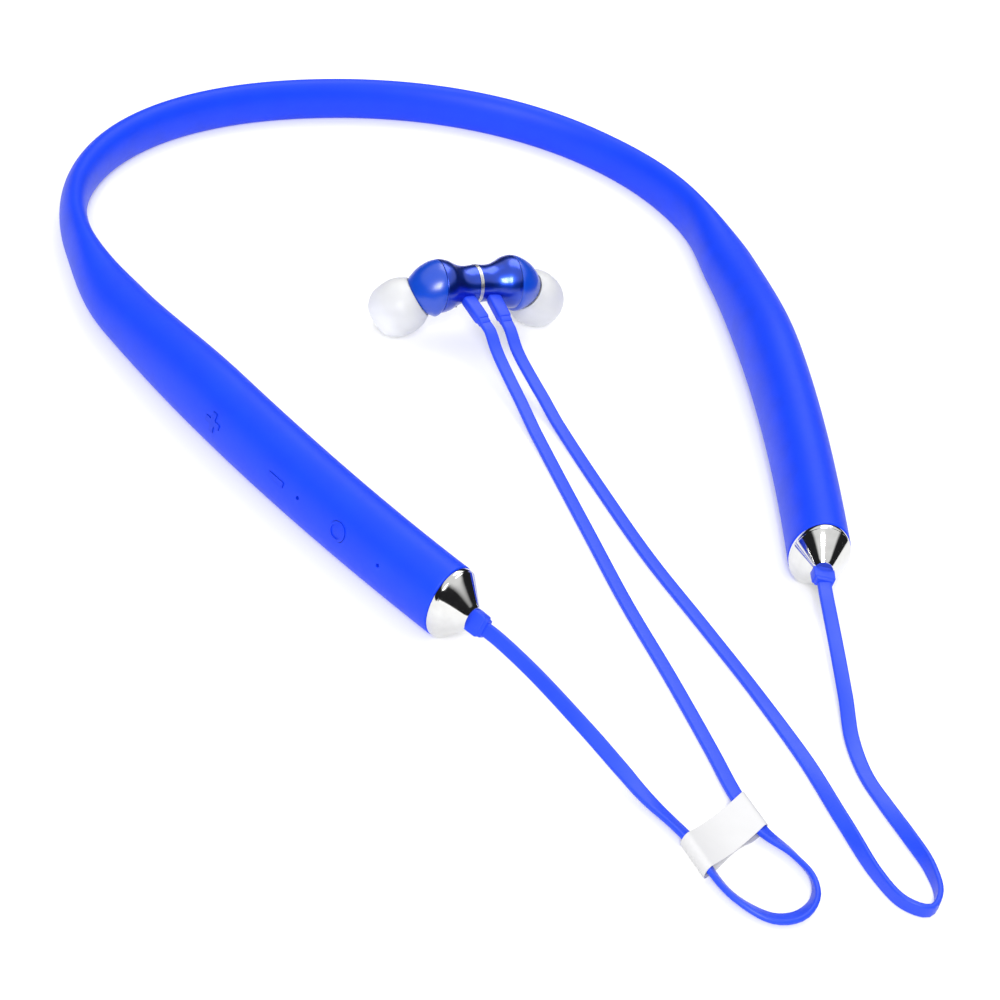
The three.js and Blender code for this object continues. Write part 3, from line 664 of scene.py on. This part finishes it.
def make_bud(name, side):
    body = f"{name}_bud"
    ring = [(0.02, 3.4), (0.02, 4.34), (0.04, 4.37), (0.36, 4.37), (0.4, 4.33), (0.4, 3.4)]
    points, faces = loft(turned(side, [(x * MM, r * MM) for x, r in ring]))
    piece(f"ring_{name}", points, faces, "chrome", body, (f"bud_ring_{name}",), look="satin_chrome")

    flare = smooth_profile([(0.46, 4.3), (2.4, 4.15), (4.0, 4.35), (5.5, 4.95), (6.8, 5.6), (8.1, 5.95),
                            (9.05, 6.02)])
    shell = [(0.46, 3.4), *flare, (9.17, 5.96), (9.2, 5.85), (9.2, 5.2)]
    points, faces = loft(turned(side, [(x * MM, r * MM) for x, r in shell]))
    piece(f"shell_{name}", points, faces, "blue_metal", body, (f"bud_shell_{name}",), sharp=50)

    base = Vector((SHELL_END + 0.05 * MM, 0, 0))
    rows = smooth_profile([(0.0, 5.9), (0.1, 6.06), (0.25, 6.08), (0.45, 5.92), (0.65, 5.58), (0.85, 5.0),
                           (0.97, 4.6)])
    rings = []
    for u, radius in rows:
        centre = base.lerp(FACE, u)
        rings += turned(side, [(0, radius * MM)], centre=centre, tilt=NOZZLE_TILT * u)
    nozzle = [(0, 4.45), (0.02, 4.3), (0.03, 2.3), (3.8, 2.3), (3.9, 2.5), (4.3, 2.4), (4.4, 2.2),
              (4.4, 1.6), (4.1, 1.5)]
    rings += turned(side, [(x * MM, r * MM) for x, r in nozzle], centre=FACE, tilt=NOZZLE_TILT)
    points, faces = loft(rings)
    piece(f"front_{name}", points, faces, "blue_gloss", body, (f"bud_front_{name}",), sharp=40)
    make_tip(name, side)
    make_boot(name, side)
    make_vent_painted_shade(name, side)


def make_tip(name, side):
    """Mushroom-shaped silicone tip: skirt, dome, bore and the hollow under the dome."""
    outer = smooth_profile([(0.08, 4.85), (1.0, 5.45), (2.2, 6.02), (3.7, 6.36), (5.7, 6.36), (7.7, 6.0),
                            (9.3, 5.15), (10.5, 3.95), (11.0, 2.9)])
    mouth = [(11.1, 2.4), (11.05, 1.85), (10.8, 1.72)]
    bore = [(5.6, 1.72), (5.3, 2.65), (0.5, 2.65), (0.45, 2.8), (0.5, 3.2)]
    pocket = smooth_profile([(0.6, 3.4), (6.7, 3.7), (7.6, 4.7), (6.1, 5.65), (3.7, 5.8), (1.9, 5.35),
                             (0.45, 4.6)], 4)
    profile = [*outer, *mouth, *bore, *pocket, (0.3, 4.6), (0.06, 4.75)]
    rings = turned(side, [(x * MM, r * MM) for x, r in profile], centre=FACE, tilt=NOZZLE_TILT)
    points, faces = loft(rings, closed=True)
    piece(f"tip_{name}", points, faces, "clear_silicone", f"{name}_tip", (f"ear_tip_{name}",), sharp=50)


BOOT = {"left": ((3.3, -2.9, -1.0), (1.5, -11.2, -3.1)), "right": ((3.1, -2.9, -1.0), (3.7, -11.2, -3.1))}


def boot_frame(name, side):
    """Local X runs down the boot, Y across it and Z out of its broad face."""
    start, end = (bud_point(side, *(Vector(p) * MM)) for p in BOOT[name])
    run = (end - start).normalized()
    across = Vector((0, 0, 1)).cross(run).normalized()
    basis = Matrix((run, across, run.cross(across))).transposed().to_4x4()
    return Matrix.Translation(start) @ basis, (end - start).length


def make_boot(name, side):
    matrix, length = boot_frame(name, side)
    w, t = 1.6 * MM, 1.1 * MM
    sizes = [(0.5 * MM, w * 0.75, t * 0.6, 0.5 * MM), (0.9 * MM, w * 0.93, t * 0.9, 0.7 * MM),
             (1.6 * MM, w, t, 0.6 * MM), (length - 1.7 * MM, w * 0.98, t, 0.6 * MM),
             (length - 1.35 * MM, w * 0.94, t * 0.92, 0.6 * MM),
             (length - 1.25 * MM, w * 0.88, t * 0.75, 0.5 * MM),
             (length - 0.2 * MM, w * 0.87, t * 0.7, 0.5 * MM), (length, w * 0.82, t * 0.6, 0.4 * MM)]
    points, faces = block(matrix, sizes)
    piece(f"boot_{name}", points, faces, "cord_rubber", f"{name}_bud", (f"cord_boot_{name}",), sharp=40)


def make_vent_painted_shade(name, side):
    """A pinhole vent in the flare, black all over; its dark bottom is painted shade standing in for the hole.
    """
    angle = math.radians(-52)
    normal = Vector((0.0, -math.cos(angle), math.sin(angle)))
    centre = PAIR + Vector((side * 5.2 * MM, 0, 0)) + normal * 4.93 * MM
    across = Vector((1, 0, 0))
    up = normal.cross(across)
    profile = [(-0.4, 0.05), (-0.4, 0.34), (0.02, 0.36), (0.05, 0.3), (-0.1, 0.26), (-0.12, 0.02)]
    rings = []
    for out, radius in profile:
        turns = [2 * math.pi * i / 24 for i in range(24)]
        rings.append([centre + normal * (out * MM) + (across * math.cos(t) + up * math.sin(t)) * (radius * MM)
                      for t in turns])
    points, faces = loft(rings)
    # black plastic over the whole vent: painted shade standing in for the dark inside the pinhole
    piece(f"vent_{name}", points, faces, "black_plastic", f"{name}_bud")


for name, side in SIDE.items():
    make_bud(name, side)


# ---------------------------------------------------------------- cords
def spline(points, spacing):
    """Points evenly spaced along a centripetal Catmull-Rom curve, each value carried along."""
    p = [np.array(q, float) for q in points]
    p = [2 * p[0] - p[1], *p, 2 * p[-1] - p[-2]]
    made = []
    for i in range(1, len(p) - 2):
        knots = [0.0]
        for k in range(3):
            knots.append(knots[-1] + max(np.linalg.norm((p[i + k] - p[i + k - 1])[:3]) ** 0.5, 1e-6))
        for t in np.linspace(knots[1], knots[2], 24, endpoint=False):
            a = [((knots[k + 1] - t) * p[i + k - 1] + (t - knots[k]) * p[i + k]) / (knots[k + 1] - knots[k])
                 for k in range(3)]
            b = [((knots[k + 2] - t) * a[k] + (t - knots[k]) * a[k + 1]) / (knots[k + 2] - knots[k])
                 for k in range(2)]
            made.append(((knots[2] - t) * b[0] + (t - knots[1]) * b[1]) / (knots[2] - knots[1]))
    made.append(p[-2])
    line = np.array(made)
    length = np.concatenate([[0], np.cumsum(np.linalg.norm(np.diff(line[:, :3], axis=0), axis=1))])
    at = np.linspace(0, length[-1], int(length[-1] / spacing) + 1)
    return np.stack([np.interp(at, length, line[:, k]) for k in range(4)], axis=1)


def ribbon_rings(rows):
    """Rounded ribbon sections along rows of x, y, z and roll."""
    w, t = RIBBON["width"] / 2, RIBBON["thickness"] / 2
    section = rounded([(w, t), (-w, t), (-w, -t), (w, -t)], RIBBON["corner"], 4)
    tangents = np.gradient(rows[:, :3], axis=0)
    rings = []
    for row, tangent in zip(rows, tangents):
        run = Vector(tangent).normalized()
        across = Vector((0, 0, 1)).cross(run).normalized()
        face = run.cross(across)
        roll = math.radians(row[3])
        wide = across * math.cos(roll) + face * math.sin(roll)
        thick = face * math.cos(roll) - across * math.sin(roll)
        centre = Vector(row[:3])
        rings.append([centre + wide * u + thick * v for u, v in section])
    return rings


def cord_rows(name, side):
    """Rows of x, y, z and roll from block to boot; a ribbon that lies flat rests nearer the floor."""
    end = Station(HALF_LENGTH, side)
    start = end.point + end.along * (CAP["gap"] + CAP["rim"] + CAP["cone"] + GLAND["length"] - 0.3 * MM)
    lead = start + end.along * 3.3 * MM
    matrix, length = boot_frame(name, side)
    at_boot = [matrix @ Vector((length + x * MM, 0, 0)) for x in (2, -0.4)]
    middle = [(x * MM, APEX_Y + y * MM, z * MM, roll) for x, y, z, roll in ROUTES[name]]
    points = [(*start, FIRST_ROLL[name]), (*lead, FIRST_ROLL[name]), *middle]
    points += [(*place, side * 180) for place in at_boot]
    rows = spline(points, RIBBON["step"])
    flat = np.cos(np.radians(rows[:, 3])) ** 2
    low = np.clip((3 * MM - rows[:, 2]) / (1 * MM), 0, 1)
    under_tag = np.exp(-(((rows[:, 1] - APEX_Y - TAG["middle"][1]) / (7 * MM)) ** 2)) * (rows[:, 0] < 0)
    rows[:, 2] -= 0.5 * MM * flat * low * (1 - under_tag if name == "left" else 1)
    edge = RIBBON["width"] / 2 * (1 - flat).clip(0) ** 0.5 + RIBBON["thickness"] / 2 * flat ** 0.5
    rows[:, 2] = np.maximum(rows[:, 2], edge + 0.05 * MM)
    return rows


def make_cord(name, side):
    rows = cord_rows(name, side)
    split = int(np.argmax(rows[:, 1] < APEX_Y + CORD_SPLIT[name]))
    cap_end, split_point = Vector(rows[0][:3]), Vector(rows[split][:3])
    points, faces = loft(ribbon_rings(rows)[: split + 1])
    lead = piece(f"cord_{name}_lead", points, faces, "cord_rubber", (f"{name}_arm", "band"),
                 (f"cord_{name}",), sharp=60, blend=(cap_end, split_point))
    points, faces = loft(ribbon_rings(rows)[split:])
    boot, before = Vector(rows[-1][:3]), Vector(rows[-1][:3]) + Vector((0, -60 * MM, 0))
    drop = piece(f"cord_{name}_drop", points, faces, "cord_rubber", ("band", f"{name}_bud"),
                 (f"cord_{name}",), sharp=60, blend=(before, boot))


def make_tag():
    """Film folded round the two strands and stuck to itself between them, sagging in the middle."""
    half, height, film = TAG["length"] / 2, TAG["height"], TAG["film"]
    across = Vector((math.cos(TAG["turn"]), math.sin(TAG["turn"]), 0))
    strands = Vector((-TAG["skew"], 1, 0))
    middle = Vector((TAG["middle"][0], APEX_Y + TAG["middle"][1], 0.12 * MM))
    count = 24
    reach = half - height / 2

    def top_film(u):
        return height - TAG["sag"] * (1 - (u / reach) ** 2)

    def loop(inset, v):
        radius = height / 2 - inset
        ring = []
        for i in range(count + 1):
            u = -reach + 2 * reach * i / count
            ring.append((u, top_film(u) - inset))
        for i in range(1, 8):
            angle = math.pi / 2 - math.pi * i / 8
            ring.append((reach + radius * math.cos(angle), height / 2 + radius * math.sin(angle)))
        for i in range(count + 1):
            u = reach - 2 * reach * i / count
            near = min(1.0, abs(u) / (TAG["stuck"] * reach))
            ring.append((u, inset + (top_film(u) - 2 * film - 0.1 * MM) * (1 - near * near * (3 - 2 * near))))
        for i in range(1, 8):
            angle = -math.pi / 2 - math.pi * i / 8
            ring.append((-reach + radius * math.cos(angle), height / 2 + radius * math.sin(angle)))
        place = middle + strands * (v * TAG["width"] / 2)
        return [place + across * u + Vector((0, 0, z)) for u, z in ring]

    steps = [-1 + 0.25 * k for k in range(9)]
    rings = [loop(0, v) for v in steps] + [loop(film, v) for v in reversed(steps)]
    points, faces = loft(rings, closed=True)
    return piece("tag_film", points, faces, "film", "band", ("cord_tag",), sharp=40)


tag = make_tag()
for name, side in SIDE.items():
    make_cord(name, side)

# ---------------------------------------------------------------- carried-over pieces, floor and light
NODE_SLOTS = {row["node"]: row["material_slot"] for row in frame["record"]["subparts"]}
for node, obj in frame["nodes"].items():
    obj.data.materials.clear()
    obj.data.materials.append(MATERIALS["screen" if node.startswith("bud_screen") else NODE_SLOTS[node]])


def make_floor():
    mesh = bpy.data.meshes.new("floor")
    half = 3.0
    corners = [(-half, -half, 0), (half, -half, 0), (half, half, 0), (-half, half, 0)]
    mesh.from_pydata(corners, [], [(0, 1, 2, 3)])
    floor = bpy.data.objects.new("floor", mesh)
    bpy.context.scene.collection.objects.link(floor)
    material, shader = new_material("floor", (0.70, 0.70, 0.70), 0.9)
    shader.inputs["Specular IOR Level"].default_value = 0.1
    shader.inputs["Emission Color"].default_value = (1, 1, 1, 1)
    shader.inputs["Emission Strength"].default_value = 0.3
    mesh.materials.append(material)


def area_light(name, place, target, size, power):
    light = bpy.data.lights.new(name, "AREA")
    light.shape = "RECTANGLE"
    light.size, light.size_y = size
    light.energy = power
    made = bpy.data.objects.new(name, light)
    bpy.context.scene.collection.objects.link(made)
    place = Vector(place)
    made.location = place
    made.rotation_mode = "QUATERNION"
    made.rotation_quaternion = (Vector(target) - place).to_track_quat("-Z", "Y")


def make_world():
    """A bright sky over a dark horizon for the chrome to reflect; the camera itself sees only white."""
    world = bpy.data.worlds.new("studio")
    bpy.context.scene.world = world
    world.use_nodes = True
    tree = world.node_tree
    place = tree.nodes.new("ShaderNodeTexCoord")
    split = tree.nodes.new("ShaderNodeSeparateXYZ")
    ramp = tree.nodes.new("ShaderNodeValToRGB")
    tree.links.new(place.outputs["Generated"], split.inputs["Vector"])
    tree.links.new(split.outputs["Z"], ramp.inputs["Fac"])
    seen = tree.nodes.new("ShaderNodeLightPath")
    sky = tree.nodes.new("ShaderNodeMix")
    sky.data_type = "RGBA"
    for socket in sky.inputs:
        if socket.identifier == "B_Color":
            socket.default_value = (1, 1, 1, 1)
        elif socket.identifier == "A_Color":
            tree.links.new(ramp.outputs["Color"], socket)
    tree.links.new(seen.outputs["Is Camera Ray"], sky.inputs["Factor"])
    color = next(socket for socket in sky.outputs if socket.identifier == "Result_Color")
    tree.links.new(color, tree.nodes["Background"].inputs["Color"])
    elements = ramp.color_ramp.elements
    elements[0].position, elements[0].color = 0.47, (0.02, 0.02, 0.022, 1)
    elements[1].position, elements[1].color = 0.57, (1.0, 1.0, 1.0, 1)
    tree.nodes["Background"].inputs["Strength"].default_value = 0.95


make_floor()
make_world()
area_light("key", (0.25, 0.35, 0.75), (0, 0, 0), (0.6, 0.6), 3.0)
for offset, power in ((-0.11, 3.0), (0.05, 5.5)):
    area_light("front_strip", (-0.45 + offset, -0.72 - offset * 0.4, 0.66), PAIR, (0.09, 0.4), power)
bpy.context.scene.view_settings.view_transform = "Standard"
